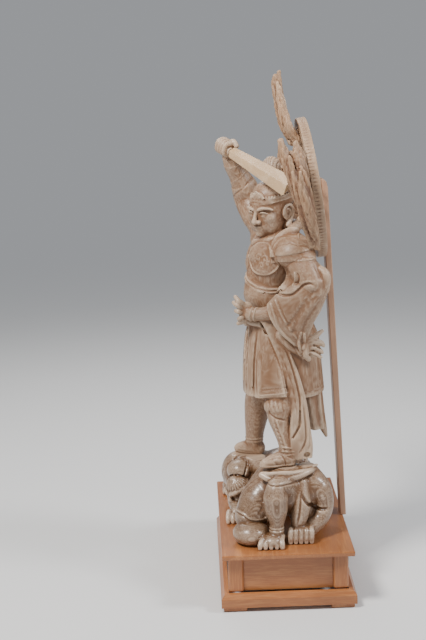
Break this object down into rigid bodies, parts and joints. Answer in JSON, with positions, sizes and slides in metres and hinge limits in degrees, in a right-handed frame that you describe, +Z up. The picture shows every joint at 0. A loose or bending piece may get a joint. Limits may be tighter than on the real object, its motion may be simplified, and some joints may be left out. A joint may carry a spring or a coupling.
{
  "type": "carved guardian statue",
  "caption": "Carved wooden guardian king with raised sword and flaming wheel halo, standing on two crouching demons on a joined box plinth.",
  "frame": {"origin": "on the floor, under the middle of the object's outline", "axes": "+Z up; the figure faces -Y; +X is the figure's left side and runs along the plinth's width"},
  "size_m": [0.542, 0.3419, 1.3103],
  "materials": {
    "plinth_wood": "satin, reddish orange",
    "halo_post_wood": "satin, pinkish tan",
    "figure_wood": "tooled, low sheen",
    "flame_wood": "tooled, matt",
    "sword_wood": "plain, smooth",
    "demon_wood": "varnished"
  },
  "bodies": {
    "root": {"guardian": "figure_wood", "sword": "sword_wood", "demon_left": "demon_wood", "demon_right": "demon_wood", "halo_post": "halo_post_wood", "halo_wheel": "flame_wood", "halo_flame_left": "flame_wood", "halo_flame_right": "flame_wood", "halo_flame_top": "flame_wood", "plinth_top": "plinth_wood", "plinth_post_front_left": "plinth_wood", "plinth_foot_front_left": "plinth_wood", "plinth_post_front_right": "plinth_wood", "plinth_foot_front_right": "plinth_wood", "plinth_post_back_left": "plinth_wood", "plinth_foot_back_left": "plinth_wood", "plinth_post_back_right": "plinth_wood", "plinth_foot_back_right": "plinth_wood", "plinth_panel_front": "plinth_wood", "plinth_base_front": "plinth_wood", "plinth_panel_back": "plinth_wood", "plinth_base_back": "plinth_wood", "plinth_panel_left": "plinth_wood", "plinth_base_left": "plinth_wood", "plinth_panel_right": "plinth_wood", "plinth_base_right": "plinth_wood"}
  },
  "joints": []
}
